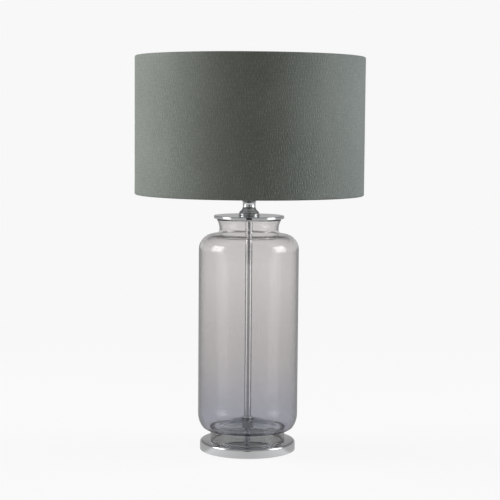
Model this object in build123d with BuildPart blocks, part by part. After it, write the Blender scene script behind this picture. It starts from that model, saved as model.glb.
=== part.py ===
"""A table lamp: a drum shade on a glass jar with a centre tube, a weighted base and a screw lampholder.

Millimetres, +Z up, the front towards -Y. The origin is on the table, on the lamp's axis.
"""

import math
import os

from build123d import *

# Clearances
SEAT_GAP = 0.2
LOOSE_GAP = 0.3
THREAD_GAP = 0.15
LAYER_GAP = 0.1

# Glass jar
GASKET_THICKNESS = 1.0
JAR_HEIGHT = 390.5
JAR_RADIUS = 87.7
JAR_WALL = 3.5
FOOT_SETBACK = 22.2
FOOT_WALL = 4.0
FOOT_HEIGHT = 19.5
FOOT_EDGE_RADIUS = 1.0
FOOT_ROOT_RADIUS = 2.0
FOOT_HOLLOW_RADIUS = 3.0
HEEL_RADIUS = 40.0
HEEL_SWEEP = 32.5
HEEL_TURN_RADIUS = 11.9
FLOOR_VALLEY_RADIUS = 10.0
PUNT_HEIGHT = 37.0
PUNT_GLASS = 3.5
PUNT_SEAT_MARGIN = 1.5
PUNT_RIM_SETBACK = 15.8
SHOULDER_RADIUS = 27.5
SHOULDER_FLAT = 1.0
NECK_HEIGHT = 26.0
NECK_ROOT_RADIUS = 7.5
LIP_FLARE_RADIUS = 34.0
LIP_EDGE_RADIUS = 1.4

# Base
BASE_LEDGE = 18.5
BASE_WALL = 1.5
BASE_EDGE_RADIUS = 4.0
SHELL_LIFT = 0.8
FELT_THICKNESS = 2.0
FELT_INSET = 1.5
WEIGHT_WEB = 2.5

# Cord inlet at the back of the base
CORD_BORE_RADIUS = 3.2
GROMMET_WALL = 1.1
GROMMET_LIP = 0.9
GROMMET_LIP_THICKNESS = 1.5

# Threaded rod with its nut and washer
ROD_RADIUS = 5.0
ROD_WALL = 1.4
ROD_HOLE_GAP = 0.2
NUT_WALL = 2.0
NUT_HEIGHT = 4.0
NUT_CORNER_RADIUS = 0.6
PUNT_NUT_WALL = 3.5
PUNT_NUT_HEIGHT = 14.0
WASHER_LEDGE = 4.0
WASHER_THICKNESS = 1.5
WASHER_ROOM = 2.0
ROD_END_BELOW_NUT = 0.6

# Centre tube and its collar
TUBE_ROD_GAP = 0.3
TUBE_WALL = 0.7
COLLAR_LEDGE = 1.5
COLLAR_FLANGE = 1.5
COLLAR_HEIGHT = 4.0
COLLAR_WALL = 1.8
COLLAR_EDGE_RADIUS = 0.5

# Jar cap
CAP_OVERHANG = 4.3
CAP_THICKNESS = 5.0
CAP_EDGE_RADIUS = 1.0

# Neck spool, between the cap and the lampholder
SPOOL_FOOT_RADIUS = 18.9
SPOOL_FOOT_HEIGHT = 3.2
SPOOL_GROOVE_DEPTH = 0.9
SPOOL_BEAD_HEIGHT = 4.2
SPOOL_BEAD_TAPER = 2.2
SPOOL_BEAD_SWELL = 0.5
SPOOL_CONE_HEIGHT = 9.0
SPOOL_WAIST_RADIUS = 11.1
SPOOL_WAIST_HEIGHT = 3.0
SPOOL_FLARE_HEIGHT = 12.1
SPOOL_HEAD_RADIUS = 18.0
SPOOL_HEAD_HEIGHT = 4.0

# Lampholder
SKIRT_CREST_RADIUS = 19.2
SKIRT_WALL = 2.4
SKIRT_PITCH = 2.5
SKIRT_THREAD_DEPTH = 0.5
SKIRT_MOUTH_LIP = 1.5
FLANGE_WIDTH = 2.3
FLANGE_THICKNESS = 4.5
CUP_STEP = 0.3
CUP_WALL = 2.0
CUP_EDGE_RADIUS = 2.5
CUP_LEDGE_WIDTH = 2.0
BOSS_HEIGHT = 11.0
ROD_END_ABOVE_BOSS = 2.0
GRUB_RADIUS = 1.5
INSERT_FLANGE_HEIGHT = 4.0
INSERT_CORE_HEIGHT = 4.0
WIRE_HOLE_RADIUS = 1.8
WIRE_ROOM = 4.0
TERMINAL_RADIUS = 9.5
TERMINAL_SCREW_RADIUS = 2.2
TERMINAL_SCREW_HEIGHT = 5.0
CONTACT_THICKNESS = 0.6
CONTACT_WIDTH = 6.0
CONTACT_RISE = 4.0

# Screw shell and the bulb's cap, with the threads as rings
LAMP_THREAD_RADIUS = 13.2
LAMP_THREAD_DEPTH = 1.0
LAMP_THREAD_PITCH = 3.6
LAMP_THREAD_TURNS = 4
LAMP_THREAD_GAP = 0.2
SHELL_THICKNESS = 0.5

# Bulb
BULB_PIP_RADIUS = 4.5
BULB_PIP_HEIGHT = 1.6
BULB_INSULATOR_HEIGHT = 3.2
BULB_COLLAR = 0.4
BULB_RADIUS = 30.0
BULB_RIM_DROP = 9.4
BULB_BODY_HEIGHT = 36.0
BULB_FLANK_START = (0.2, 1.0)
BULB_GLOBE_WALL = 1.0
BULB_ABOVE_SKIRT = 1.0

# Shade
SHADE_RADIUS = 200.0
SHADE_HEIGHT = 239.0
FABRIC_THICKNESS = 0.8
HEM_DEPTH = 8.0
LINING_THICKNESS = 0.5
WIRE_RADIUS = 1.5
FITTER_RISE = 27.7
FITTER_CLEARANCE = 1.0
FITTER_WIDTH = 7.0
FITTER_THICKNESS = 2.5
SPOKE_COUNT = 3
SPOKE_RADIUS = 1.6
SPOKE_START_ANGLE = 90.0
HEM_SLIT_GAP = 1.9

# Shade ring
RING_WIDTH = 6.8
RING_HEIGHT = 8.0
RING_RIB_COUNT = 24
RING_RIB_RADIUS = 1.0

# Radii that several pieces share
foot_radius = JAR_RADIUS - FOOT_SETBACK
base_radius = foot_radius + BASE_LEDGE
shell_inner_radius = base_radius - BASE_WALL
grommet_radius = CORD_BORE_RADIUS + GROMMET_WALL
grommet_lip_radius = grommet_radius + GROMMET_LIP
rod_hole_radius = ROD_RADIUS + ROD_HOLE_GAP
tube_inner_radius = ROD_RADIUS + TUBE_ROD_GAP
tube_radius = tube_inner_radius + TUBE_WALL
socket_radius = tube_radius + THREAD_GAP
collar_radius = socket_radius + COLLAR_WALL + COLLAR_LEDGE
nut_inner_radius = ROD_RADIUS + NUT_WALL
washer_radius = nut_inner_radius + WASHER_LEDGE
skirt_bore_radius = SKIRT_CREST_RADIUS - SKIRT_THREAD_DEPTH - SKIRT_WALL
cup_radius = SKIRT_CREST_RADIUS + CUP_STEP
cup_bore_radius = cup_radius - CUP_WALL
fitter_hole_radius = SKIRT_CREST_RADIUS + FITTER_CLEARANCE

# Heights of the stack, from the table up
cord_inlet_height = FELT_THICKNESS + LOOSE_GAP + grommet_lip_radius
base_top = cord_inlet_height + grommet_lip_radius + LOOSE_GAP + WEIGHT_WEB + BASE_WALL
jar_bottom = base_top + GASKET_THICKNESS
jar_top = jar_bottom + JAR_HEIGHT
punt_top = jar_bottom + PUNT_HEIGHT
cap_bottom = jar_top + GASKET_THICKNESS
cap_top = cap_bottom + CAP_THICKNESS
spool_bead_bottom = cap_top + SPOOL_FOOT_HEIGHT
spool_cone_bottom = spool_bead_bottom + SPOOL_BEAD_HEIGHT
spool_waist_bottom = spool_cone_bottom + SPOOL_CONE_HEIGHT
spool_waist_top = spool_waist_bottom + SPOOL_WAIST_HEIGHT
spool_head_bottom = spool_waist_top + SPOOL_FLARE_HEIGHT
spool_top = spool_head_bottom + SPOOL_HEAD_HEIGHT
boss_top = spool_top + BOSS_HEIGHT
insert_bottom = boss_top + WIRE_ROOM + TERMINAL_SCREW_HEIGHT
cup_top = insert_bottom + INSERT_FLANGE_HEIGHT
insert_top = cup_top + INSERT_CORE_HEIGHT
flange_top = cup_top + FLANGE_THICKNESS
contact_top = insert_top + CONTACT_RISE
pip_bottom = contact_top + SEAT_GAP
insulator_bottom = pip_bottom + BULB_PIP_HEIGHT
lamp_thread_start = insulator_bottom + BULB_INSULATOR_HEIGHT
lamp_thread_end = lamp_thread_start + LAMP_THREAD_TURNS * LAMP_THREAD_PITCH
skirt_top = lamp_thread_end + LOOSE_GAP + SKIRT_MOUTH_LIP
bulb_body_bottom = skirt_top + BULB_ABOVE_SKIRT
bulb_body_top = bulb_body_bottom + BULB_BODY_HEIGHT
fitter_bottom = flange_top + SEAT_GAP
fitter_top = fitter_bottom + FITTER_THICKNESS
ring_bottom = fitter_top + SEAT_GAP
shade_bottom = fitter_bottom - FITTER_RISE
shade_top = shade_bottom + SHADE_HEIGHT

os.makedirs("parts", exist_ok=True)


def save(part, name):
    """Labels a finished piece and writes its STEP file."""
    part.label = name
    export_step(part, f"parts/{name}.step")


def washer(outer_radius, inner_radius, bottom, thickness):
    """A flat ring on the lamp's axis."""
    with BuildPart() as ring:
        with BuildSketch(Plane.XY.offset(bottom)):
            Circle(outer_radius)
            Circle(inner_radius, mode=Mode.SUBTRACT)
        extrude(amount=thickness)
    return ring.part


def ring_thread(middle_radius, start):
    """Draws the lamp thread's round rings in section, up from start."""
    half_pitch = LAMP_THREAD_PITCH / 2
    for half_turn in range(2 * LAMP_THREAD_TURNS):
        low = start + half_turn * half_pitch
        swing = LAMP_THREAD_DEPTH / 2 if half_turn % 2 == 0 else -LAMP_THREAD_DEPTH / 2
        ThreePointArc(
            (middle_radius, low),
            (middle_radius + swing, low + half_pitch / 2),
            (middle_radius, low + half_pitch),
        )


# Felt pad under the base
felt_radius = shell_inner_radius - FELT_INSET
with BuildPart() as base_felt:
    with BuildSketch():
        Circle(felt_radius)
    extrude(amount=FELT_THICKNESS)
save(base_felt.part, "base_felt")

# Spun base shell, open below
inner_edge_radius = BASE_EDGE_RADIUS - BASE_WALL
shell_ceiling = base_top - BASE_WALL
with BuildPart() as base_shell:
    with BuildSketch(Plane.XZ):
        with BuildLine():
            Polyline(
                (rod_hole_radius, base_top),
                (base_radius, base_top),
                (base_radius, SHELL_LIFT),
                (shell_inner_radius, SHELL_LIFT),
                (shell_inner_radius, shell_ceiling),
                (rod_hole_radius, shell_ceiling),
                close=True,
            )
        make_face()
    revolve(axis=Axis.Z)
    rim_edges = base_shell.edges().filter_by(GeomType.CIRCLE)
    fillet(rim_edges.group_by(Axis.Z)[-1].sort_by(SortBy.RADIUS)[-1], BASE_EDGE_RADIUS)
    rim_edges = base_shell.edges().filter_by(GeomType.CIRCLE)
    under_rim = rim_edges.filter_by_position(Axis.Z, shell_ceiling - LAYER_GAP, shell_ceiling + LAYER_GAP)
    fillet(under_rim.sort_by(SortBy.RADIUS)[-1], inner_edge_radius)
    with BuildSketch(Plane.XZ.offset(-shell_inner_radius + BASE_WALL)):
        with Locations((0, cord_inlet_height)):
            Circle(grommet_radius + THREAD_GAP)
    extrude(amount=-3 * BASE_WALL, mode=Mode.SUBTRACT)
save(base_shell.part, "base_shell")

# Cast weight inside the shell, with a pocket for the nut and a channel for the cord
weight_radius = shell_inner_radius - LOOSE_GAP
weight_height = shell_ceiling - FELT_THICKNESS
pocket_radius = washer_radius + WASHER_ROOM
pocket_depth = NUT_HEIGHT + WASHER_THICKNESS + ROD_END_BELOW_NUT + LOOSE_GAP
channel_width = 2 * (grommet_lip_radius + LOOSE_GAP)
channel_depth = cord_inlet_height + channel_width / 2 - FELT_THICKNESS
with BuildPart() as base_weight:
    with BuildSketch(Plane.XY.offset(FELT_THICKNESS)):
        Circle(weight_radius)
    extrude(amount=weight_height)
    fillet(base_weight.edges().group_by(Axis.Z)[-1], inner_edge_radius)
    with BuildSketch(Plane.XY.offset(FELT_THICKNESS)):
        Circle(pocket_radius)
    extrude(amount=pocket_depth, mode=Mode.SUBTRACT)
    with BuildSketch(Plane.XY.offset(FELT_THICKNESS)):
        Circle(rod_hole_radius)
    extrude(amount=weight_height, mode=Mode.SUBTRACT)
    with BuildSketch(Plane.XY.offset(FELT_THICKNESS)):
        with Locations((0, base_radius / 2)):
            Rectangle(channel_width, base_radius)
    extrude(amount=channel_depth, mode=Mode.SUBTRACT)
save(base_weight.part, "base_weight")

# Washer and nut that clamp the rod under the weight
rod_washer_bottom = FELT_THICKNESS + pocket_depth - WASHER_THICKNESS
rod_washer = washer(washer_radius, rod_hole_radius, rod_washer_bottom, WASHER_THICKNESS)
save(rod_washer, "rod_washer")

nut_bottom = rod_washer_bottom - NUT_HEIGHT
with BuildPart() as rod_nut:
    with BuildSketch(Plane.XY.offset(nut_bottom)):
        RegularPolygon(nut_inner_radius, 6, major_radius=False)
        Circle(ROD_RADIUS + THREAD_GAP, mode=Mode.SUBTRACT)
    extrude(amount=NUT_HEIGHT)
    corners = rod_nut.edges().filter_by(Axis.Z)
    fillet(corners, NUT_CORNER_RADIUS)
save(rod_nut.part, "rod_nut")

# Bush that guides the cord through the back of the shell
grommet_outer_face = base_radius + GROMMET_LIP_THICKNESS
grommet_inner_face = shell_inner_radius - LOOSE_GAP - GROMMET_LIP_THICKNESS
shell_sag = shell_inner_radius - math.sqrt(shell_inner_radius**2 - grommet_lip_radius**2)
with BuildPart() as cord_grommet:
    with BuildSketch(Plane.YZ):
        with BuildLine():
            Polyline(
                (grommet_inner_face - shell_sag, cord_inlet_height + CORD_BORE_RADIUS),
                (grommet_inner_face - shell_sag, cord_inlet_height + grommet_lip_radius),
                (shell_inner_radius - LOOSE_GAP - shell_sag, cord_inlet_height + grommet_lip_radius),
                (shell_inner_radius - LOOSE_GAP - shell_sag, cord_inlet_height + grommet_radius),
                (base_radius, cord_inlet_height + grommet_radius),
                (base_radius, cord_inlet_height + grommet_lip_radius),
                (grommet_outer_face, cord_inlet_height + grommet_lip_radius),
                (grommet_outer_face, cord_inlet_height + CORD_BORE_RADIUS),
                close=True,
            )
        make_face()
    revolve(axis=Axis((0, 0, cord_inlet_height), (0, 1, 0)))
    lip_edges = cord_grommet.edges().filter_by(GeomType.CIRCLE).group_by(Axis.Y)[-1]
    fillet(lip_edges.sort_by(SortBy.RADIUS)[-1], GROMMET_LIP_THICKNESS / 2)
save(cord_grommet.part, "cord_grommet")

# Gasket between the base and the jar's foot
foot_inner_radius = foot_radius - FOOT_WALL
foot_gasket = washer(
    foot_radius - FOOT_EDGE_RADIUS,
    foot_inner_radius + FOOT_EDGE_RADIUS,
    base_top,
    GASKET_THICKNESS,
)
save(foot_gasket, "foot_gasket")

# Glass jar: one blown piece with a pushed-up floor, a hollow foot, a rounded heel and a flared neck
underside = jar_bottom + FOOT_HEIGHT
floor_low = underside + JAR_WALL
heel_step = HEEL_RADIUS - HEEL_TURN_RADIUS
heel_centre_radius = JAR_RADIUS - HEEL_RADIUS
turn_centre_radius = heel_centre_radius + heel_step * math.cos(math.radians(HEEL_SWEEP))
turn_top = underside + HEEL_TURN_RADIUS
heel_top = turn_top + heel_step * math.sin(math.radians(HEEL_SWEEP))
crest = jar_top - NECK_HEIGHT
shoulder_bottom = crest - SHOULDER_RADIUS
waist = crest + NECK_ROOT_RADIUS
neck_root_centre_radius = JAR_RADIUS - SHOULDER_RADIUS - SHOULDER_FLAT
neck_radius = neck_root_centre_radius - NECK_ROOT_RADIUS
flare_centre_radius = neck_radius + LIP_FLARE_RADIUS
inner_flare_radius = LIP_FLARE_RADIUS + JAR_WALL
flare_angle = math.degrees(math.asin((jar_top - waist) / LIP_FLARE_RADIUS))
inner_flare_angle = math.degrees(math.asin((jar_top - waist) / inner_flare_radius))
inner_radius = JAR_RADIUS - JAR_WALL
punt_hole_radius = rod_hole_radius + LOOSE_GAP
punt_seat_radius = collar_radius + PUNT_SEAT_MARGIN
punt_rim_radius = foot_radius - PUNT_RIM_SETBACK

# The punt is a piece of a sphere with its centre on the axis, and its underside follows it
punt_squares = punt_rim_radius**2 - punt_seat_radius**2 + floor_low**2 - punt_top**2
punt_centre = punt_squares / (2 * (floor_low - punt_top))
punt_radius = math.hypot(punt_seat_radius, punt_top - punt_centre)
hollow_radius = punt_radius - PUNT_GLASS
hollow_top = punt_top - PUNT_GLASS
hollow_seat_radius = math.sqrt(hollow_radius**2 - (hollow_top - punt_centre) ** 2)
hollow_rim_radius = math.sqrt(hollow_radius**2 - (underside - punt_centre) ** 2)
punt_start = math.degrees(math.asin((floor_low - punt_centre) / punt_radius))
punt_end = math.degrees(math.asin((punt_top - punt_centre) / punt_radius))
hollow_start = math.degrees(math.asin((underside - punt_centre) / hollow_radius))
hollow_end = math.degrees(math.asin((hollow_top - punt_centre) / hollow_radius))

with BuildPart() as glass_jar:
    with BuildSketch(Plane.XZ) as jar_section:
        with BuildLine():
            foot_side = Line((foot_radius, jar_bottom), (foot_radius, underside))
            ledge = Line(foot_side @ 1, (turn_centre_radius, underside))
            heel_turn = CenterArc((turn_centre_radius, turn_top), HEEL_TURN_RADIUS, -90, 90 - HEEL_SWEEP)
            heel = CenterArc((heel_centre_radius, heel_top), HEEL_RADIUS, -HEEL_SWEEP, HEEL_SWEEP)
            outer_wall = Line(heel @ 1, (JAR_RADIUS, shoulder_bottom))
            shoulder = CenterArc((JAR_RADIUS - SHOULDER_RADIUS, shoulder_bottom), SHOULDER_RADIUS, 0, 90)
            shoulder_flat = Line(shoulder @ 1, (neck_root_centre_radius, crest))
            neck_root = CenterArc((neck_root_centre_radius, waist), NECK_ROOT_RADIUS, 270, -90)
            flare = CenterArc((flare_centre_radius, waist), LIP_FLARE_RADIUS, 180, -flare_angle)
            inner_flare = CenterArc((flare_centre_radius, waist), inner_flare_radius, 180, -inner_flare_angle)
            lip = Line(flare @ 1, inner_flare @ 1)
            inner_root = CenterArc((neck_root_centre_radius, waist), NECK_ROOT_RADIUS + JAR_WALL, 270, -90)
            inner_shoulder = CenterArc(
                (JAR_RADIUS - SHOULDER_RADIUS, shoulder_bottom), SHOULDER_RADIUS - JAR_WALL, 0, 90
            )
            inner_flat = Line(inner_shoulder @ 1, inner_root @ 0)
            inner_wall = Line((inner_radius, heel_top), inner_shoulder @ 0)
            inner_heel = CenterArc(
                (heel_centre_radius, heel_top), HEEL_RADIUS - JAR_WALL, -HEEL_SWEEP, HEEL_SWEEP
            )
            inner_turn = CenterArc(
                (turn_centre_radius, turn_top), HEEL_TURN_RADIUS - JAR_WALL, -90, 90 - HEEL_SWEEP
            )
            floor = Line(inner_turn @ 0, (punt_rim_radius, floor_low))
            punt = CenterArc((0, punt_centre), punt_radius, punt_start, punt_end - punt_start)
            punt_seat = Line(punt @ 1, (punt_hole_radius, punt_top))
            punt_hole = Line(punt_seat @ 1, (punt_hole_radius, hollow_top))
            hollow_seat = Line(punt_hole @ 1, (hollow_seat_radius, hollow_top))
            hollow = CenterArc((0, punt_centre), hollow_radius, hollow_start, hollow_end - hollow_start)
            hollow_flat = Line(hollow @ 0, (foot_inner_radius, underside))
            foot_inside = Line(hollow_flat @ 1, (foot_inner_radius, jar_bottom))
            foot_rim = Line(foot_inside @ 1, foot_side @ 0)
        make_face()
        foot_root = jar_section.vertices().sort_by_distance((foot_radius, underside))[0]
        fillet(foot_root, FOOT_ROOT_RADIUS)
        valley = jar_section.vertices().sort_by_distance((punt_rim_radius, floor_low))[0]
        fillet(valley, FLOOR_VALLEY_RADIUS)
        hollow_root = jar_section.vertices().sort_by_distance((foot_inner_radius, underside))[0]
        fillet(hollow_root, FOOT_HOLLOW_RADIUS)
        hollow_rim = jar_section.vertices().sort_by_distance((hollow_rim_radius, underside))[0]
        fillet(hollow_rim, FLOOR_VALLEY_RADIUS + PUNT_GLASS)
    revolve(axis=Axis.Z)
    circles = glass_jar.edges().filter_by(GeomType.CIRCLE)
    fillet(circles.group_by(Axis.Z)[-1], LIP_EDGE_RADIUS)
    circles = glass_jar.edges().filter_by(GeomType.CIRCLE)
    fillet(circles.group_by(Axis.Z)[0], FOOT_EDGE_RADIUS)
save(glass_jar.part, "glass_jar")

# Soft washer and nut under the punt
punt_nut_radius = ROD_RADIUS + PUNT_NUT_WALL
nut_washer_bottom = hollow_top - GASKET_THICKNESS
nut_washer = washer(hollow_seat_radius - LOOSE_GAP, rod_hole_radius, nut_washer_bottom, GASKET_THICKNESS)
save(nut_washer, "nut_washer")

punt_nut_bottom = nut_washer_bottom - PUNT_NUT_HEIGHT
with BuildPart() as punt_nut:
    with BuildSketch(Plane.XY.offset(punt_nut_bottom)):
        RegularPolygon(punt_nut_radius, 6, major_radius=False)
        Circle(ROD_RADIUS + THREAD_GAP, mode=Mode.SUBTRACT)
    extrude(amount=PUNT_NUT_HEIGHT)
    fillet(punt_nut.edges().filter_by(Axis.Z), NUT_CORNER_RADIUS)
save(punt_nut.part, "punt_nut")

# Soft washer on the punt, under the tube's collar
punt_washer_top = punt_top + GASKET_THICKNESS
punt_washer = washer(collar_radius, rod_hole_radius, punt_top, GASKET_THICKNESS)
save(punt_washer, "punt_washer")

# Collar that holds the tube's foot on the punt
collar_flange_top = punt_washer_top + COLLAR_FLANGE
with BuildPart() as tube_collar:
    with BuildSketch(Plane.XY.offset(punt_washer_top)):
        Circle(collar_radius)
    extrude(amount=COLLAR_FLANGE)
    fillet(tube_collar.faces().sort_by(Axis.Z)[-1].edges(), COLLAR_EDGE_RADIUS)
    with BuildSketch(Plane.XY.offset(punt_washer_top)):
        Circle(socket_radius + COLLAR_WALL)
    extrude(amount=COLLAR_HEIGHT)
    fillet(tube_collar.faces().sort_by(Axis.Z)[-1].edges(), COLLAR_EDGE_RADIUS)
    with BuildSketch(Plane.XY.offset(collar_flange_top)):
        Circle(socket_radius)
    extrude(amount=COLLAR_HEIGHT, mode=Mode.SUBTRACT)
    with BuildSketch(Plane.XY.offset(punt_washer_top)):
        Circle(rod_hole_radius)
    extrude(amount=COLLAR_HEIGHT, mode=Mode.SUBTRACT)
save(tube_collar.part, "tube_collar")

# Centre tube, from the collar to the cap
tube_length = cap_bottom - collar_flange_top
centre_tube = washer(tube_radius, tube_inner_radius, collar_flange_top, tube_length)
save(centre_tube, "centre_tube")

# Hollow threaded rod that clamps the whole stem together
rod_bottom = nut_bottom - ROD_END_BELOW_NUT
rod_top = boss_top + ROD_END_ABOVE_BOSS
threaded_rod = washer(ROD_RADIUS, ROD_RADIUS - ROD_WALL, rod_bottom, rod_top - rod_bottom)
save(threaded_rod, "threaded_rod")

# Gasket and cap on the jar's mouth
lip_outer_radius = flare_centre_radius - LIP_FLARE_RADIUS * math.cos(math.radians(flare_angle))
lip_inner_radius = flare_centre_radius - inner_flare_radius * math.cos(math.radians(inner_flare_angle))
cap_gasket = washer(
    lip_outer_radius - LIP_EDGE_RADIUS,
    lip_inner_radius + LIP_EDGE_RADIUS,
    jar_top,
    GASKET_THICKNESS,
)
save(cap_gasket, "cap_gasket")

cap_radius = lip_outer_radius + CAP_OVERHANG
with BuildPart() as jar_cap:
    with BuildSketch(Plane.XY.offset(cap_bottom)):
        Circle(cap_radius)
    extrude(amount=CAP_THICKNESS)
    fillet(jar_cap.edges().filter_by(GeomType.CIRCLE), CAP_EDGE_RADIUS)
    with BuildSketch(Plane.XY.offset(cap_bottom)):
        Circle(rod_hole_radius)
    extrude(amount=CAP_THICKNESS, mode=Mode.SUBTRACT)
save(jar_cap.part, "jar_cap")

# Neck spool: two beads at its foot, a hollow cone, a narrow waist and a flared head
groove_radius = SPOOL_FOOT_RADIUS - SPOOL_GROOVE_DEPTH
bead_top_radius = groove_radius - SPOOL_BEAD_TAPER
bead_middle_radius = (groove_radius + bead_top_radius) / 2 + SPOOL_BEAD_SWELL
head_groove_radius = SPOOL_HEAD_RADIUS - SPOOL_GROOVE_DEPTH
with BuildPart() as neck_spool:
    with BuildSketch(Plane.XZ):
        with BuildLine():
            spool_base = Line((rod_hole_radius, cap_top), (groove_radius, cap_top))
            foot_bead = ThreePointArc(
                spool_base @ 1,
                (SPOOL_FOOT_RADIUS, cap_top + SPOOL_FOOT_HEIGHT / 2),
                (groove_radius, spool_bead_bottom),
            )
            second_bead = ThreePointArc(
                foot_bead @ 1,
                (bead_middle_radius, spool_bead_bottom + SPOOL_BEAD_HEIGHT / 2),
                (bead_top_radius, spool_cone_bottom),
            )
            waist_foot = (SPOOL_WAIST_RADIUS, spool_waist_bottom)
            lower_cone = TangentArc(waist_foot, second_bead @ 1, tangent=(0, -1))
            spool_waist = Line(lower_cone @ 0, (SPOOL_WAIST_RADIUS, spool_waist_top))
            upper_cone = TangentArc(spool_waist @ 1, (head_groove_radius, spool_head_bottom), tangent=(0, 1))
            head_bead = ThreePointArc(
                upper_cone @ 1,
                (SPOOL_HEAD_RADIUS, spool_head_bottom + SPOOL_HEAD_HEIGHT / 2),
                (head_groove_radius, spool_top),
            )
            spool_end = Line(head_bead @ 1, (rod_hole_radius, spool_top))
            Line(spool_end @ 1, spool_base @ 0)
        make_face()
    revolve(axis=Axis.Z)
save(neck_spool.part, "neck_spool")

# Lampholder cup, screwed on the rod
cup_height = cup_top - spool_top
grub_height = spool_top + BOSS_HEIGHT / 2
with BuildPart() as holder_cup:
    with BuildSketch(Plane.XY.offset(spool_top)):
        Circle(cup_radius)
    extrude(amount=cup_height)
    fillet(holder_cup.faces().sort_by(Axis.Z)[0].edges(), CUP_EDGE_RADIUS)
    with BuildSketch(Plane.XY.offset(insert_bottom)):
        Circle(cup_bore_radius)
    extrude(amount=INSERT_FLANGE_HEIGHT, mode=Mode.SUBTRACT)
    with BuildSketch(Plane.XY.offset(boss_top)):
        Circle(cup_bore_radius - CUP_LEDGE_WIDTH)
    extrude(amount=cup_height, mode=Mode.SUBTRACT)
    with BuildSketch(Plane.XY.offset(spool_top)):
        Circle(ROD_RADIUS + THREAD_GAP)
    extrude(amount=cup_height, mode=Mode.SUBTRACT)
    with BuildSketch(Plane.XZ):
        with Locations((0, grub_height)):
            Circle(GRUB_RADIUS + THREAD_GAP)
    extrude(amount=-2 * cup_radius, mode=Mode.SUBTRACT)
save(holder_cup.part, "holder_cup")

# Grub screw that locks the cup on the rod
grub_inner_end = ROD_RADIUS + 2 * THREAD_GAP
grub_outer_end = cup_bore_radius
with BuildPart() as grub_screw:
    with BuildSketch(Plane.XZ.offset(-grub_inner_end)):
        with Locations((0, grub_height)):
            Circle(GRUB_RADIUS)
    extrude(amount=-(grub_outer_end - grub_inner_end))
    with BuildSketch(Plane.XZ.offset(-grub_outer_end)):
        with Locations((0, grub_height)):
            Rectangle(2 * GRUB_RADIUS, GRUB_RADIUS / 2)
    extrude(amount=GRUB_RADIUS, mode=Mode.SUBTRACT)
save(grub_screw.part, "grub_screw")

# Insulating insert that carries the contacts
insert_radius = cup_bore_radius - THREAD_GAP
insert_core_radius = skirt_bore_radius - LOOSE_GAP
with BuildPart() as holder_insert:
    with BuildSketch(Plane.XY.offset(insert_bottom)):
        Circle(insert_radius)
    extrude(amount=INSERT_FLANGE_HEIGHT)
    with BuildSketch(Plane.XY.offset(cup_top)):
        Circle(insert_core_radius)
    extrude(amount=INSERT_CORE_HEIGHT)
    with BuildSketch(Plane.XY.offset(insert_bottom)):
        with PolarLocations(TERMINAL_RADIUS, 2, start_angle=90):
            Circle(WIRE_HOLE_RADIUS)
    extrude(amount=INSERT_FLANGE_HEIGHT + INSERT_CORE_HEIGHT, mode=Mode.SUBTRACT)
save(holder_insert.part, "holder_insert")

# Terminal screws under the insert
with BuildPart() as terminal_screws:
    with BuildSketch(Plane.XY.offset(insert_bottom)):
        with PolarLocations(TERMINAL_RADIUS, 2):
            Circle(TERMINAL_SCREW_RADIUS)
    extrude(amount=-TERMINAL_SCREW_HEIGHT)
    with BuildSketch(Plane.XY.offset(insert_bottom - TERMINAL_SCREW_HEIGHT)):
        with PolarLocations(TERMINAL_RADIUS, 2):
            Rectangle(TERMINAL_SCREW_RADIUS / 3, 2 * TERMINAL_SCREW_RADIUS)
    extrude(amount=TERMINAL_SCREW_RADIUS / 2, mode=Mode.SUBTRACT)
save(terminal_screws.part, "terminal_screws")

# Sprung tongue that meets the bulb's centre contact
with BuildPart() as centre_contact:
    with BuildSketch(Plane.XZ.offset(-CONTACT_WIDTH / 2)):
        with BuildLine():
            tongue = Polyline(
                (-1.5 * CONTACT_WIDTH, insert_top),
                (-CONTACT_WIDTH, insert_top),
                (-CONTACT_WIDTH / 2, contact_top - CONTACT_THICKNESS),
                (CONTACT_WIDTH / 2, contact_top - CONTACT_THICKNESS),
                (CONTACT_WIDTH / 2, contact_top),
                (-CONTACT_WIDTH / 2 - CONTACT_THICKNESS, contact_top),
                (-CONTACT_WIDTH - CONTACT_THICKNESS, insert_top + CONTACT_THICKNESS),
                (-1.5 * CONTACT_WIDTH, insert_top + CONTACT_THICKNESS),
                close=True,
            )
        make_face()
    extrude(amount=CONTACT_WIDTH)
save(centre_contact.part, "centre_contact")

# Threaded shell of the lampholder, a thin wave of rings
bulb_thread_middle = LAMP_THREAD_RADIUS - LAMP_THREAD_DEPTH / 2
shell_inner_middle = bulb_thread_middle + LAMP_THREAD_GAP
shell_outer_middle = shell_inner_middle + SHELL_THICKNESS
shell_widest_radius = shell_outer_middle + LAMP_THREAD_DEPTH / 2
with BuildPart() as screw_shell:
    with BuildSketch(Plane.XZ):
        with BuildLine():
            ring_thread(shell_inner_middle, lamp_thread_start)
            ring_thread(shell_outer_middle, lamp_thread_start)
            Line((shell_inner_middle, lamp_thread_end), (shell_outer_middle, lamp_thread_end))
            Polyline(
                (shell_inner_middle, lamp_thread_start),
                (shell_inner_middle, insert_top),
                (shell_outer_middle, insert_top),
                (shell_outer_middle, lamp_thread_start),
            )
        make_face()
    revolve(axis=Axis.Z)
save(screw_shell.part, "screw_shell")

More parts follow.
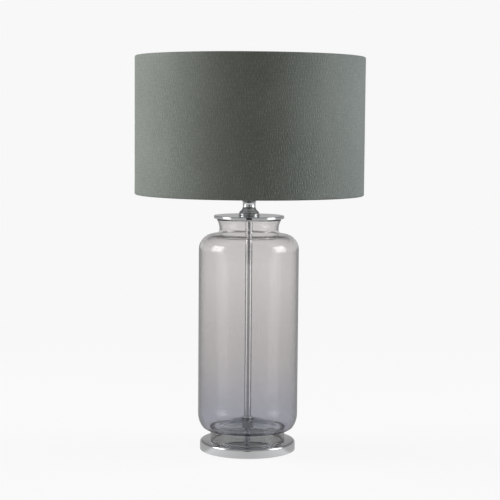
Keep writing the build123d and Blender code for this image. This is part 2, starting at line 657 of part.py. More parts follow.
# Skirt of the lampholder, with the flange and the thread that hold the shade
skirt_height = skirt_top - cup_top
thread_run = skirt_top - flange_top - SKIRT_PITCH
groove_count = int(thread_run // SKIRT_PITCH)
with BuildPart() as holder_skirt:
    with BuildSketch(Plane.XY.offset(cup_top)):
        Circle(SKIRT_CREST_RADIUS)
    extrude(amount=skirt_height)
    with BuildSketch(Plane.XY.offset(cup_top)):
        Circle(SKIRT_CREST_RADIUS + FLANGE_WIDTH)
    extrude(amount=FLANGE_THICKNESS)
    with BuildSketch(Plane.XY.offset(cup_top)):
        Circle(skirt_bore_radius)
    extrude(amount=skirt_height - SKIRT_MOUTH_LIP, mode=Mode.SUBTRACT)
    with BuildSketch(Plane.XY.offset(cup_top)):
        Circle(shell_widest_radius + LOOSE_GAP)
    extrude(amount=skirt_height, mode=Mode.SUBTRACT)
    with BuildSketch(Plane.XZ):
        for groove in range(groove_count):
            groove_height = flange_top + (groove + 1) * SKIRT_PITCH
            with BuildLine():
                Polyline(
                    (SKIRT_CREST_RADIUS, groove_height - SKIRT_PITCH / 3),
                    (SKIRT_CREST_RADIUS - SKIRT_THREAD_DEPTH, groove_height),
                    (SKIRT_CREST_RADIUS, groove_height + SKIRT_PITCH / 3),
                    close=True,
                )
            make_face()
    revolve(axis=Axis.Z, mode=Mode.SUBTRACT)
save(holder_skirt.part, "holder_skirt")

# Ring that screws down on the shade's fitter
ring_radius = SKIRT_CREST_RADIUS + RING_WIDTH
with BuildPart() as shade_ring:
    with BuildSketch(Plane.XY.offset(ring_bottom)):
        Circle(ring_radius)
        with PolarLocations(ring_radius, RING_RIB_COUNT):
            Circle(RING_RIB_RADIUS, mode=Mode.SUBTRACT)
        Circle(SKIRT_CREST_RADIUS + THREAD_GAP, mode=Mode.SUBTRACT)
    extrude(amount=RING_HEIGHT)
save(shade_ring.part, "shade_ring")

# Bulb: solder pip, insulator, ringed cap, body and globe
with BuildPart() as bulb_pip:
    with BuildSketch(Plane.XY.offset(pip_bottom)):
        Circle(BULB_PIP_RADIUS)
    extrude(amount=BULB_PIP_HEIGHT)
    fillet(bulb_pip.faces().sort_by(Axis.Z)[0].edges(), BULB_PIP_HEIGHT / 2)
save(bulb_pip.part, "bulb_pip")

bulb_root = LAMP_THREAD_RADIUS - LAMP_THREAD_DEPTH
with BuildPart() as bulb_insulator:
    with BuildSketch(Plane.XY.offset(insulator_bottom)):
        Circle(BULB_PIP_RADIUS)
    with BuildSketch(Plane.XY.offset(lamp_thread_start)):
        Circle(bulb_root)
    loft()
save(bulb_insulator.part, "bulb_insulator")

with BuildPart() as bulb_cap:
    with BuildSketch(Plane.XZ):
        with BuildLine():
            ring_thread(bulb_thread_middle, lamp_thread_start)
            Polyline(
                (bulb_thread_middle, lamp_thread_end),
                (bulb_thread_middle, bulb_body_bottom),
                (0, bulb_body_bottom),
                (0, lamp_thread_start),
                (bulb_thread_middle, lamp_thread_start),
            )
        make_face()
    revolve(axis=Axis.Z)
save(bulb_cap.part, "bulb_cap")

globe_centre = bulb_body_top + BULB_RIM_DROP
bulb_rim_radius = math.sqrt(BULB_RADIUS**2 - BULB_RIM_DROP**2)
with BuildPart() as bulb_body:
    with BuildSketch(Plane.XZ):
        with BuildLine():
            flank = TangentArc(
                (LAMP_THREAD_RADIUS + BULB_COLLAR, bulb_body_bottom),
                (bulb_rim_radius, bulb_body_top),
                tangent=BULB_FLANK_START,
            )
            Polyline(
                flank @ 1,
                (0, bulb_body_top),
                (0, bulb_body_bottom),
                flank @ 0,
            )
        make_face()
    revolve(axis=Axis.Z)
save(bulb_body.part, "bulb_body")

globe_inner_radius = BULB_RADIUS - BULB_GLOBE_WALL
globe_angle = math.degrees(math.asin(BULB_RIM_DROP / BULB_RADIUS))
inner_globe_angle = math.degrees(math.asin(BULB_RIM_DROP / globe_inner_radius))
with BuildPart() as bulb_globe:
    with BuildSketch(Plane.XZ):
        with BuildLine():
            dome_outside = CenterArc((0, globe_centre), BULB_RADIUS, -globe_angle, 90 + globe_angle)
            dome_inside = CenterArc(
                (0, globe_centre), globe_inner_radius, -inner_globe_angle, 90 + inner_globe_angle
            )
            Line(dome_outside @ 0, dome_inside @ 0)
            Line(dome_outside @ 1, dome_inside @ 1)
        make_face()
    revolve(axis=Axis.Z)
save(bulb_globe.part, "bulb_globe")

# Shade layers, from the outside in
fabric_inner_radius = SHADE_RADIUS - FABRIC_THICKNESS
lining_outer_radius = fabric_inner_radius - LAYER_GAP
lining_inner_radius = lining_outer_radius - LINING_THICKNESS
wire_circle_radius = lining_inner_radius - LAYER_GAP - WIRE_RADIUS
hem_outer_radius = wire_circle_radius - WIRE_RADIUS - LAYER_GAP
hem_inner_radius = hem_outer_radius - FABRIC_THICKNESS
wire_inset = FABRIC_THICKNESS + LAYER_GAP + WIRE_RADIUS
bottom_wire_height = shade_bottom + wire_inset
top_wire_height = shade_top - wire_inset

# Fabric drum, turned in over the wires at both edges and slit where the spokes pass
with BuildPart() as shade_fabric:
    with BuildSketch(Plane.XZ):
        with BuildLine():
            Polyline(
                (hem_inner_radius, shade_bottom),
                (SHADE_RADIUS, shade_bottom),
                (SHADE_RADIUS, shade_top),
                (hem_inner_radius, shade_top),
                (hem_inner_radius, shade_top - HEM_DEPTH),
                (hem_outer_radius, shade_top - HEM_DEPTH),
                (hem_outer_radius, shade_top - FABRIC_THICKNESS),
                (fabric_inner_radius, shade_top - FABRIC_THICKNESS),
                (fabric_inner_radius, shade_bottom + FABRIC_THICKNESS),
                (hem_outer_radius, shade_bottom + FABRIC_THICKNESS),
                (hem_outer_radius, shade_bottom + HEM_DEPTH),
                (hem_inner_radius, shade_bottom + HEM_DEPTH),
                close=True,
            )
        make_face()
    revolve(axis=Axis.Z)
    slit_middle = (hem_inner_radius + hem_outer_radius) / 2
    hem_slit_width = 2 * (SPOKE_RADIUS + HEM_SLIT_GAP)
    with BuildSketch(Plane.XY.offset(shade_bottom + FABRIC_THICKNESS)):
        with PolarLocations(slit_middle, SPOKE_COUNT, start_angle=SPOKE_START_ANGLE):
            Rectangle(2 * FABRIC_THICKNESS, hem_slit_width)
    extrude(amount=HEM_DEPTH, mode=Mode.SUBTRACT)
save(shade_fabric.part, "shade_fabric")

# Stiff lining behind the fabric
lining_bottom = shade_bottom + FABRIC_THICKNESS + LAYER_GAP
lining_height = SHADE_HEIGHT - 2 * (FABRIC_THICKNESS + LAYER_GAP)
shade_lining = washer(lining_outer_radius, lining_inner_radius, lining_bottom, lining_height)
save(shade_lining, "shade_lining")

# Wire ring in the shade's top edge
with BuildPart() as shade_top_ring:
    with BuildSketch(Plane.XZ):
        with Locations((wire_circle_radius, top_wire_height)):
            Circle(WIRE_RADIUS)
    revolve(axis=Axis.Z)
save(shade_top_ring.part, "shade_top_ring")

# Welded frame in the shade's bottom edge: wire ring, spokes and fitter ring
fitter_outer_radius = fitter_hole_radius + FITTER_WIDTH
spoke_inner_end = fitter_hole_radius + FITTER_WIDTH / 2
spoke_inner_height = fitter_top - SPOKE_RADIUS
spoke_outer_height = bottom_wire_height - WIRE_RADIUS + SPOKE_RADIUS
with BuildPart() as shade_spider:
    with BuildSketch(Plane.XZ):
        with Locations((wire_circle_radius, bottom_wire_height)):
            Circle(WIRE_RADIUS)
    revolve(axis=Axis.Z)
    with BuildSketch(Plane.XY.offset(fitter_bottom)):
        Circle(fitter_outer_radius)
        Circle(fitter_hole_radius, mode=Mode.SUBTRACT)
    extrude(amount=FITTER_THICKNESS)
    for spoke in range(SPOKE_COUNT):
        spoke_angle = SPOKE_START_ANGLE + spoke * 360 / SPOKE_COUNT
        inner_end = Vector(spoke_inner_end, 0, spoke_inner_height).rotate(Axis.Z, spoke_angle)
        outer_end = Vector(wire_circle_radius, 0, spoke_outer_height).rotate(Axis.Z, spoke_angle)
        with BuildSketch(Plane(inner_end, z_dir=outer_end - inner_end)):
            Circle(SPOKE_RADIUS)
        extrude(amount=(outer_end - inner_end).length)
save(shade_spider.part, "shade_spider")

print("lamp height", round(shade_top, 2), "shade bottom", round(shade_bottom, 2))
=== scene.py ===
"""Dresses a table lamp, a linen drum shade on a smoked glass jar, and sets it on a pale studio floor."""

import math

import bmesh
import bpy
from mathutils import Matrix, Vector, noise


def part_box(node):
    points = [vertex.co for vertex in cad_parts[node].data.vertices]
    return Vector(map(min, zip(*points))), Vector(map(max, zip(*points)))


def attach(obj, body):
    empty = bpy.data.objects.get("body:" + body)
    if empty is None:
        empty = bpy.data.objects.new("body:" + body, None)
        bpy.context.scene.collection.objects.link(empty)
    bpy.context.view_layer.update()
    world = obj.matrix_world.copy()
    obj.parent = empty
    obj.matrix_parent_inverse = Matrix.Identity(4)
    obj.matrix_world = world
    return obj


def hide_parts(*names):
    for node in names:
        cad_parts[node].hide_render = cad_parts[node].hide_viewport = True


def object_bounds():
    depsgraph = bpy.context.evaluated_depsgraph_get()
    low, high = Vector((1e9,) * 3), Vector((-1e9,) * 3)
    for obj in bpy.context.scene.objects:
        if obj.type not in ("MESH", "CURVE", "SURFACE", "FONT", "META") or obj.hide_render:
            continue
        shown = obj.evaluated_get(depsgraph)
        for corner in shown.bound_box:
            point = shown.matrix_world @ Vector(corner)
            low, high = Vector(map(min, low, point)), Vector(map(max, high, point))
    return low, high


bl_info = {
    "name": "Jar lamp",
    "version": (1, 0, 0),
    "blender": (4, 5, 0),
    "location": "3D View > Sidebar > Jar lamp",
    "description": "Dresses a table lamp with a linen drum shade on a smoked glass jar",
    "category": "Object",
}

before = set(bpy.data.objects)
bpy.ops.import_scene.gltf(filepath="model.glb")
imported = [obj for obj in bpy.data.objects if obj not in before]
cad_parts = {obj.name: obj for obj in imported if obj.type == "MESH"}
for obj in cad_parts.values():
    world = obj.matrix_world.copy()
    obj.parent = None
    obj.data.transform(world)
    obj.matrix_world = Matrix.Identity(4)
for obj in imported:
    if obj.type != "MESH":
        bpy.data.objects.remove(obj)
CAD_BOX = [list(corner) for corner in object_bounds()]
SHADE_LOW, SHADE_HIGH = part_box("shade_fabric")
FELT_LOW, FELT_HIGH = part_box("base_felt")
JAR_LOW, JAR_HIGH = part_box("glass_jar")

# The linen's seam is at the back, and its lower hem is slit round the spider's three spokes
SEAM = math.radians(90.0)
SPOKES = [math.radians(degrees) for degrees in (90.0, 210.0, 330.0)]
SLIT_HALF_WIDTH = 0.0024
HEM_ROWS = 6

# Rise of one turn of the rod's thread, in metres
ROD_PITCH = 0.001

# Zones of the jar's smoke, in metres: a tint gives way from the first number and is gone at the second
DOME_REACH = (0.027, 0.056)
FLOOR_REACH = (0.066, 0.070)
FLOOR_HEIGHT = (0.057, 0.064)
FOOT_HEIGHT = (0.0325, 0.0385)

# Distances over which the shadow fades on the floor, and slopes over which the mirrored wall turns dark
SHADOW_REACH = (0.5, 1.6)
WALL_SLOPE = (0.2192, 0.2212)


# Settings


def length(name, description, default):
    """A length that a user may change, in metres."""
    return bpy.props.FloatProperty(
        name=name,
        description=description,
        default=default,
        min=0.0,
        precision=4,
        unit="LENGTH",
        subtype="DISTANCE",
    )


def colour(name, description, default):
    """A plain colour that a user may change."""
    return bpy.props.FloatVectorProperty(
        name=name, description=description, default=default, min=0.0, max=1.0, size=3, subtype="COLOR"
    )


def share(name, description, default):
    """A number from 0 to 1 that a user may change."""
    return bpy.props.FloatProperty(
        name=name, description=description, default=default, min=0.0, max=1.0, subtype="FACTOR"
    )


def turn(name, description, degrees):
    """An angle that a user may change."""
    return bpy.props.FloatProperty(
        name=name, description=description, default=math.radians(degrees), unit="ROTATION", subtype="ANGLE"
    )


def number(name, description, default):
    """A plain number that a user may change."""
    return bpy.props.FloatProperty(name=name, description=description, default=default, min=0.0)


class ShadeSettings(bpy.types.PropertyGroup):
    """Sizes and colours of the drum shade."""

    radius: length("Radius", "Outside radius of the drum", SHADE_HIGH.x)
    bottom: length("Bottom", "Height of the drum's lower edge", SHADE_LOW.z)
    top: length("Top", "Height of the drum's upper edge", SHADE_HIGH.z)
    cloth: length("Cloth", "Thickness of the linen", 0.0008)
    hem: length("Hem", "Depth of the cloth turned in over each wire", 0.008)
    roll: length("Roll", "Radius of the cloth's turn over each wire", 0.0023)
    overlap: length("Overlap", "Width of the glued seam at the back", 0.010)
    thread: length("Thread", "Spacing of the linen's threads", 0.0011)
    linen: colour("Linen", "Colour of the linen", (0.180, 0.195, 0.175))
    slub: colour("Slub", "Colour of the thick pale threads", (0.290, 0.308, 0.280))
    # Painted shade that the linen takes between its threads
    shadow: colour("Shadow", "Colour between the threads", (0.085, 0.094, 0.082))
    # The lining's grey is partly painted shade for the dim inside of the drum
    lining: colour("Lining", "Colour of the stiff lining", (0.30, 0.30, 0.29))
    wire: colour("Wire", "Colour of the coated wires", (0.78, 0.78, 0.76))


class JarSettings(bpy.types.PropertyGroup):
    """Colours of the smoked glass, from the foot up."""

    foot: colour("Foot", "Smoke on the foot", (0.56, 0.563, 0.56))
    punt: colour("Floor", "Smoke on the pushed-up floor", (0.56, 0.60, 0.65))
    valley: colour("Valley", "Smoke round the pushed-up floor", (0.88, 0.89, 0.91))
    heel: colour("Heel", "Smoke at the heel", (0.562, 0.569, 0.610))
    low: colour("Low", "Smoke above the heel", (0.600, 0.599, 0.632))
    rise: colour("Rise", "Smoke where its blue ends", (0.672, 0.656, 0.655))
    middle: colour("Middle", "Smoke at the middle of the wall", (0.722, 0.704, 0.701))
    high: colour("High", "Smoke below the shoulder", (0.795, 0.777, 0.772))
    top: colour("Top", "Smoke at the neck", (0.805, 0.790, 0.785))
    seal: colour("Seal", "Colour of the clear soft rings", (0.90, 0.90, 0.89))


class MetalSettings(bpy.types.PropertyGroup):
    """Colours of the metals."""

    chrome: colour("Chrome", "Polished chrome", (0.80, 0.81, 0.82))
    chrome_haze: colour("Haze", "Chrome where it was handled", (0.72, 0.73, 0.74))
    zinc: colour("Zinc", "Bright plated steel of the rod, the nuts and the washer", (0.84, 0.86, 0.89))
    iron: colour("Iron", "Cast weight", (0.085, 0.085, 0.088))
    brass: colour("Brass", "Terminals and the contact", (0.74, 0.57, 0.27))
    nickel: colour("Nickel", "Screw shell and the bulb's cap", (0.70, 0.69, 0.65))


class PlainSettings(bpy.types.PropertyGroup):
    """Colours of the felt, the rubber, the plastics and the bulb."""

    felt: colour("Felt", "Pad under the base", (0.020, 0.020, 0.021))
    rubber: colour("Rubber", "Bush and washers", (0.018, 0.018, 0.018))
    holder: colour("Holder", "Moulded lampholder and ring", (0.022, 0.022, 0.023))
    insert: colour("Insert", "Glazed inner piece of the holder", (0.74, 0.72, 0.66))
    bead: colour("Bead", "Black glass between the bulb's cap and its pip", (0.015, 0.015, 0.018))
    bulb: colour("Bulb body", "Plastic body of the bulb", (0.80, 0.80, 0.78))
    opal: colour("Opal", "Globe of the bulb", (0.86, 0.85, 0.82))


class StageSettings(bpy.types.PropertyGroup):
    """Camera, floor and lamps of the studio."""

    camera_back: length("Camera distance", "From the lamp's axis to the camera", 2.4992)
    camera_height: length("Camera height", "Above the floor", 0.576)
    camera_tilt: turn("Camera tilt", "Down from level", 5.083)
    camera_roll: turn("Camera roll", "Turn about the view line", 0.45)
    camera_aim: turn("Camera aim", "Turn towards the right", 0.006)
    lens: number("Lens", "Focal length in millimetres on a 36 mm sensor", 102.97)
    paper: share("Paper", "Level of the pale background", 0.938)
    shadow: share("Shadow", "How much of the floor's look comes from the lamps", 0.13)
    left_turn: turn("Left angle", "Place of the left softbox, from the front", -92.5)
    left_power: number("Left lamp", "Watts of the left softbox", 108.5)
    left_tint: colour("Left tint", "Colour of the left softbox", (0.965, 0.99, 1.0))
    right_turn: turn("Right angle", "Place of the right softbox, from the front", 94.0)
    right_power: number("Right lamp", "Watts of the right softbox", 94.5)
    right_tint: colour("Right tint", "Colour of the right softbox", (0.887, 0.939, 1.0))
    fill_power: number("Front lamp", "Watts of the front fill", 7.5)
    fill_tint: colour("Front tint", "Colour of the front fill", (1.0, 0.91, 0.58))


SETTINGS = {
    "lamp_shade": ShadeSettings,
    "lamp_jar": JarSettings,
    "lamp_metal": MetalSettings,
    "lamp_plain": PlainSettings,
    "lamp_stage": StageSettings,
}


# Shader expressions


class Wire:
    """A socket that takes part in Python expressions."""

    def __init__(self, sheet, socket):
        self.sheet = sheet
        self.socket = socket

    def maths(self, operation, *values):
        return self.sheet.node("ShaderNodeMath", {"operation": operation}, dict(enumerate(values)))

    def __add__(self, other):
        return self.maths("ADD", self, other)

    __radd__ = __add__

    def __mul__(self, other):
        return self.maths("MULTIPLY", self, other)

    __rmul__ = __mul__

    def __sub__(self, other):
        return self.maths("SUBTRACT", self, other)

    def __rsub__(self, other):
        return self.maths("SUBTRACT", other, self)

    def __truediv__(self, other):
        return self.maths("DIVIDE", self, other)

    def __rtruediv__(self, other):
        return self.maths("DIVIDE", other, self)

    def __pow__(self, other):
        return self.maths("POWER", self, other)

    def __rpow__(self, other):
        return self.maths("POWER", other, self)

    def sine(self):
        return self.maths("SINE", self)

    def turned(self, other):
        """The angle whose sine goes with this value and whose cosine goes with the other."""
        return self.maths("ARCTAN2", self, other)

    def size(self):
        return self.maths("ABSOLUTE", self)

    def least(self, other):
        return self.maths("MINIMUM", self, other)

    def most(self, other):
        return self.maths("MAXIMUM", self, other)

    def above(self, low, high):
        """0 below low, 1 above high, smooth between."""
        settings = {"interpolation_type": "SMOOTHSTEP"}
        return self.sheet.node(
            "ShaderNodeMapRange", settings, {"Value": self, "From Min": low, "From Max": high}
        )


class Sheet:
    """The node tree of one material or of the world."""

    def __init__(self, owner):
        owner.use_nodes = True
        self.owner = owner
        self.tree = owner.node_tree
        self.tree.nodes.clear()

    def node(self, kind, settings=None, sockets=None, output=0):
        """A new node, its settings first; gives one of its outputs."""
        made = self.tree.nodes.new(kind)
        for key, value in (settings or {}).items():
            if key == "stops":
                ramp = made.color_ramp
                while len(ramp.elements) < len(value):
                    ramp.elements.new(1.0)
                for element, (place, tint) in zip(ramp.elements, value):
                    element.position = place
                    element.color = (*tint, 1.0)
            else:
                setattr(made, key, value)
        for key, value in (sockets or {}).items():
            socket = made.inputs[key]
            if isinstance(value, Wire):
                self.tree.links.new(value.socket, socket)
            elif isinstance(socket.default_value, float):
                socket.default_value = value
            else:
                room = len(socket.default_value)
                socket.default_value = tuple(value) + (1.0,) * (room - len(value))
        return Wire(self, made.outputs[output]) if made.outputs else None

    def place(self, kind="Object"):
        return self.node("ShaderNodeTexCoord", output=kind)

    def part(self, vector, axis):
        return self.node("ShaderNodeSeparateXYZ", None, {"Vector": vector}, axis)

    def reach(self, vector):
        """Distance from the lamp's axis."""
        x = self.part(vector, "X")
        y = self.part(vector, "Y")
        return (x * x + y * y) ** 0.5

    def join(self, x, y, z=0.0):
        return self.node("ShaderNodeCombineXYZ", None, {"X": x, "Y": y, "Z": z})

    def stretch(self, vector, scale):
        return self.node("ShaderNodeVectorMath", {"operation": "MULTIPLY"}, {0: vector, 1: scale})

    def cloud(self, vector, scale, detail=3.0, rough=0.5, swirl=0.0):
        """Noise of about 0 to 1; the scale is lumps to the metre."""
        sockets = {"Vector": vector, "Scale": scale, "Detail": detail}
        sockets.update({"Roughness": rough, "Distortion": swirl})
        return self.node("ShaderNodeTexNoise", None, sockets)

    def cells(self, vector, scale):
        """Small cells, a scale of them to the metre, 0 at the middle of each."""
        return self.node("ShaderNodeTexVoronoi", {"feature": "F1"}, {"Vector": vector, "Scale": scale})

    def blend(self, amount, first, second):
        """A colour from first at 0 to second at 1; the colour sockets of the node are 6, 7 and 2."""
        return self.node("ShaderNodeMix", {"data_type": "RGBA"}, {0: amount, 6: first, 7: second}, 2)

    def relief(self, height, strength, distance):
        """A bump whose depth is a distance in metres."""
        sockets = {"Height": height, "Strength": strength, "Distance": distance}
        return self.node("ShaderNodeBump", None, sockets)

    def surface(self, **sockets):
        """Ends the material with a surface and gives it back; underscores stand for spaces."""
        named = {key.replace("_", " "): value for key, value in sockets.items()}
        self.end(self.node("ShaderNodeBsdfPrincipled", None, named))
        return self.owner

    def mix_shader(self, amount, first, second):
        return self.node("ShaderNodeMixShader", None, {0: amount, 1: first, 2: second})

    def glow(self, level, kind="ShaderNodeEmission"):
        """White light of a level that varies from 0 to 2."""
        brightest = 2.0
        none = self.node(kind, None, {"Strength": 0.0})
        full = self.node(kind, None, {"Color": (1.0, 1.0, 1.0), "Strength": brightest})
        return self.mix_shader(level / brightest, none, full)

    def end(self, shader, kind="ShaderNodeOutputMaterial"):
        self.node(kind, None, {"Surface": shader})

    def path(self, kind):
        return self.node("ShaderNodeLightPath", output=kind)

    def mirrored(self):
        """1 for a path that metal or glass has reflected."""
        return self.path("Glossy Depth").least(1.0)

    def seen(self):
        """1 for what the camera sees, straight or through glass."""
        straight = self.path("Is Camera Ray")
        through = self.path("Is Transmission Ray")
        return straight.most(through * (1.0 - self.mirrored()))


def material(name):
    """The empty node sheet of a new material."""
    return Sheet(bpy.data.materials.new(name))


# Finishes


def linen_finish(shade):
    """Slubby linen, woven along the drum's length and height."""
    s = material("linen")
    flat = s.place("UV")
    along = s.part(flat, "X")
    up = s.part(flat, "Y")
    stray = (s.cloud(flat, 90.0, 2.0) - 0.5) * 0.0006
    turns = math.pi / shade.thread
    warp = ((along + stray) * turns).sine().size()
    weft = ((up + stray) * turns).sine().size()
    weave = warp * 0.5 + weft * 0.5
    weft_slub = s.cloud(s.join(along * 60.0, up * 420.0), 1.0, 2.0, 0.6)
    warp_here = s.cloud(s.join(along * 560.0, up * 140.0, 7.0), 1.0, 1.0)
    warp_beside = s.cloud(s.join(along * 560.0 + 1.0, up * 140.0, 7.0), 1.0, 1.0)
    warp_slub = 0.5 + (warp_here - warp_beside) * 0.7
    thick = weft_slub.above(0.50, 0.72) * 0.36 + warp_slub.above(0.50, 0.70) * 0.62
    thin = (1.0 - weft_slub).above(0.50, 0.72) * 0.36 + (1.0 - warp_slub).above(0.50, 0.70) * 0.62
    patches = s.cloud(flat, 9.0, 2.0)
    tint = s.blend(thick.least(1.0), shade.linen, shade.slub)
    # Painted shade between the threads: the gaps darken towards the shadow colour, more where the yarn is
    # thin
    tint = s.blend(thin.least(1.0) * 0.6, tint, shade.shadow)
    tint = s.blend((1.0 - weave) * 0.35, tint, shade.shadow)
    tint = s.blend(patches.above(0.35, 0.75) * 0.16, tint, shade.slub)
    height = weave * 0.6 + thick * 0.5 - thin * 0.3
    return s.surface(
        Base_Color=tint,
        Roughness=0.56 + thin * 0.1,
        Normal=s.relief(height, 0.55, 0.0006),
        Sheen_Weight=0.02,
        Sheen_Roughness=0.5,
        Sheen_Tint=(0.9, 0.93, 0.92),
        Specular_IOR_Level=0.4,
    )


def lining_finish(shade):
    """Satin grey sheet, a little mottled by its pressing; its grey is partly painted shade for the dim
    inside of the drum.
    """
    s = material("lining")
    spot = s.place()
    mottle = s.cloud(spot, 26.0, 4.0)
    grain = s.cloud(spot, 900.0, 2.0)
    tint = s.blend(mottle.above(0.3, 0.75) * 0.3, shade.lining, (0.26, 0.26, 0.25))
    return s.surface(
        Base_Color=tint,
        Roughness=0.42 + mottle * 0.16,
        Normal=s.relief(grain, 0.12, 0.0002),
    )


def coated_wire_finish(shade):
    """Powder coat with its orange peel and a few worn spots."""
    s = material("white_wire")
    spot = s.place()
    peel = s.cells(spot, 900.0)
    wear = s.cloud(spot, 60.0, 5.0, 0.65).above(0.66, 0.74)
    tint = s.blend(wear * 0.45, shade.wire, (0.45, 0.44, 0.42))
    return s.surface(Base_Color=tint, Roughness=0.34 + wear * 0.2, Normal=s.relief(peel, 0.18, 0.0002))


def smoked_glass_finish(jar):
    """Clear glass with a smoke that deepens towards the foot, and the faint waves of blown glass."""
    s = material("smoked_glass")
    spot = s.place()
    level = s.part(spot, "Z")
    drift = s.cloud(spot, 7.0, 2.0) - 0.5
    tall = JAR_HIGH.z - JAR_LOW.z
    climb = (level + drift * 0.012 - JAR_LOW.z) / tall
    stops = [(0.05, jar.heel), (0.16, jar.low), (0.33, jar.rise)]
    stops += [(0.52, jar.middle), (0.76, jar.high), (0.95, jar.top)]
    smoke = s.node("ShaderNodeValToRGB", {"stops": stops}, {"Fac": climb})
    reach = s.reach(spot)
    floor = s.blend(reach.above(*DOME_REACH), jar.punt, jar.valley)
    inside = (1.0 - reach.above(*FLOOR_REACH)) * (1.0 - level.above(*FLOOR_HEIGHT))
    smoke = s.blend(inside, smoke, floor)
    smoke = s.blend(level.above(*FOOT_HEIGHT), jar.foot, smoke)
    waves = s.cloud(s.stretch(spot, (1.0, 1.0, 0.35)), 24.0, 2.0)
    smear = s.cloud(spot, 38.0, 4.0, 0.6)
    return s.surface(
        Base_Color=smoke,
        Roughness=smear.above(0.62, 0.85) * 0.03,
        Normal=s.relief(waves, 0.04, 0.001),
        Transmission_Weight=1.0,
        IOR=1.5,
    )


def chrome_finish(metal):
    """Polished chrome: spun lines, a faint haze and a few wiping marks."""
    s = material("chrome")
    spot = s.place()
    spun = s.cloud(s.join(s.reach(spot), s.part(spot, "Z")), 1800.0, 2.0)
    haze = s.cloud(spot, 21.0, 4.0, 0.6)
    marks = s.cloud(s.stretch(spot, (30.0, 30.0, 260.0)), 1.0, 3.0).above(0.60, 0.78)
    tint = s.blend(haze.above(0.4, 0.8) * 0.5, metal.chrome, metal.chrome_haze)
    rough = 0.045 + haze.above(0.45, 0.85) * 0.05 + marks * 0.05
    return s.surface(Base_Color=tint, Roughness=rough, Metallic=1.0, Normal=s.relief(spun, 0.05, 0.0001))


def zinc_finish(metal, name, pitch=0.0):
    """Zinc plated steel; a pitch cuts a thread into it."""
    s = material(name)
    spot = s.place()
    spangle = s.cells(spot, 260.0)
    stain = s.cloud(spot, 70.0, 4.0, 0.6)
    tint = s.blend(stain.above(0.45, 0.8) * 0.5, metal.zinc, (0.60, 0.61, 0.63))
    if pitch:
        angle = s.part(spot, "Y").turned(s.part(spot, "X"))
        phase = s.part(spot, "Z") / pitch + angle / (2.0 * math.pi)
        groove = (phase * math.pi).sine().size()
        relief = s.relief(spangle * 0.02 + groove, 0.9, 0.0006)
    else:
        relief = s.relief(spangle * 0.2, 0.15, 0.0002)
    return s.surface(Base_Color=tint, Roughness=0.10 + stain * 0.12, Metallic=1.0, Normal=relief)


def iron_finish(metal):
    """Sand cast iron."""
    s = material("cast_iron")
    spot = s.place()
    sand = s.cloud(spot, 420.0, 4.0, 0.7)
    rust = s.cloud(spot, 34.0, 4.0).above(0.58, 0.75)
    tint = s.blend(rust * 0.35, metal.iron, (0.13, 0.075, 0.045))
    relief = s.relief(sand, 0.5, 0.0006)
    return s.surface(Base_Color=tint, Roughness=0.62 + sand * 0.2, Metallic=0.55, Normal=relief)


def yellow_metal_finish(metal):
    """Plain brass with fine scratches and a little tarnish."""
    s = material("brass")
    spot = s.place()
    scratch = s.cloud(s.stretch(spot, (2200.0, 160.0, 160.0)), 1.0, 2.0)
    dull = s.cloud(spot, 180.0, 3.0).above(0.5, 0.8)
    tint = s.blend(dull * 0.5, metal.brass, (0.42, 0.30, 0.13))
    relief = s.relief(scratch, 0.1, 0.0001)
    return s.surface(Base_Color=tint, Roughness=0.24 + dull * 0.2, Metallic=1.0, Normal=relief)


def rolled_shell_finish(metal):
    """Thin rolled shell, scuffed along its thread."""
    s = material("nickel_shell")
    spot = s.place()
    scuff = s.cloud(s.stretch(spot, (90.0, 90.0, 900.0)), 1.0, 3.0)
    tint = s.blend(scuff.above(0.5, 0.8) * 0.4, metal.nickel, (0.50, 0.49, 0.46))
    relief = s.relief(scuff, 0.08, 0.0001)
    return s.surface(Base_Color=tint, Roughness=0.26 + scuff * 0.16, Metallic=1.0, Normal=relief)


def solder_finish():
    """A soldered pip."""
    s = material("solder")
    spot = s.place()
    lump = s.cloud(spot, 620.0, 3.0)
    tint = s.blend(lump.above(0.45, 0.7), (0.56, 0.56, 0.57), (0.40, 0.40, 0.41))
    relief = s.relief(lump, 0.4, 0.0003)
    return s.surface(Base_Color=tint, Roughness=0.34 + lump * 0.2, Metallic=1.0, Normal=relief)


def felt_finish(plain):
    """Pressed wool felt."""
    s = material("black_felt")
    spot = s.place()
    fibre = s.cloud(spot, 1400.0, 5.0, 0.7, 1.5)
    lint = s.cloud(spot, 260.0, 3.0).above(0.62, 0.72)
    tint = s.blend(lint * 0.4, plain.felt, (0.085, 0.085, 0.088))
    return s.surface(
        Base_Color=tint,
        Roughness=0.92 + fibre * 0.06,
        Normal=s.relief(fibre, 0.7, 0.0006),
        Sheen_Weight=0.3,
        Sheen_Roughness=0.6,
    )


def rubber_finish(plain):
    """Matt black rubber with a little bloom."""
    s = material("black_rubber")
    spot = s.place()
    bloom = s.cloud(spot, 130.0, 4.0)
    grain = s.cloud(spot, 1500.0, 2.0)
    tint = s.blend(bloom.above(0.5, 0.8) * 0.4, plain.rubber, (0.055, 0.055, 0.055))
    return s.surface(Base_Color=tint, Roughness=0.56 + bloom * 0.2, Normal=s.relief(grain, 0.15, 0.0002))


def clear_seal_finish(jar):
    """Soft clear ring, a little cloudy."""
    s = material("clear_rubber")
    spot = s.place()
    cloudy = s.cloud(spot, 90.0, 3.0)
    tint = s.blend(cloudy.above(0.4, 0.7) * 0.4, jar.seal, (0.82, 0.82, 0.81))
    return s.surface(Base_Color=tint, Roughness=0.28 + cloudy * 0.14, Transmission_Weight=0.75, IOR=1.43)


def moulded_finish(name, tint, drifted, rough, grain_scale, depth):
    """Moulded or glazed plain material with a fine grain and a slight drift of its colour."""
    s = material(name)
    spot = s.place()
    grain = s.cloud(spot, grain_scale, 3.0, 0.6)
    drift = s.cloud(spot, 48.0, 3.0)
    base = s.blend(drift.above(0.35, 0.8) * 0.5, tint, drifted)
    return s.surface(Base_Color=base, Roughness=rough + grain * 0.12, Normal=s.relief(grain, depth, 0.0002))


# Shapes


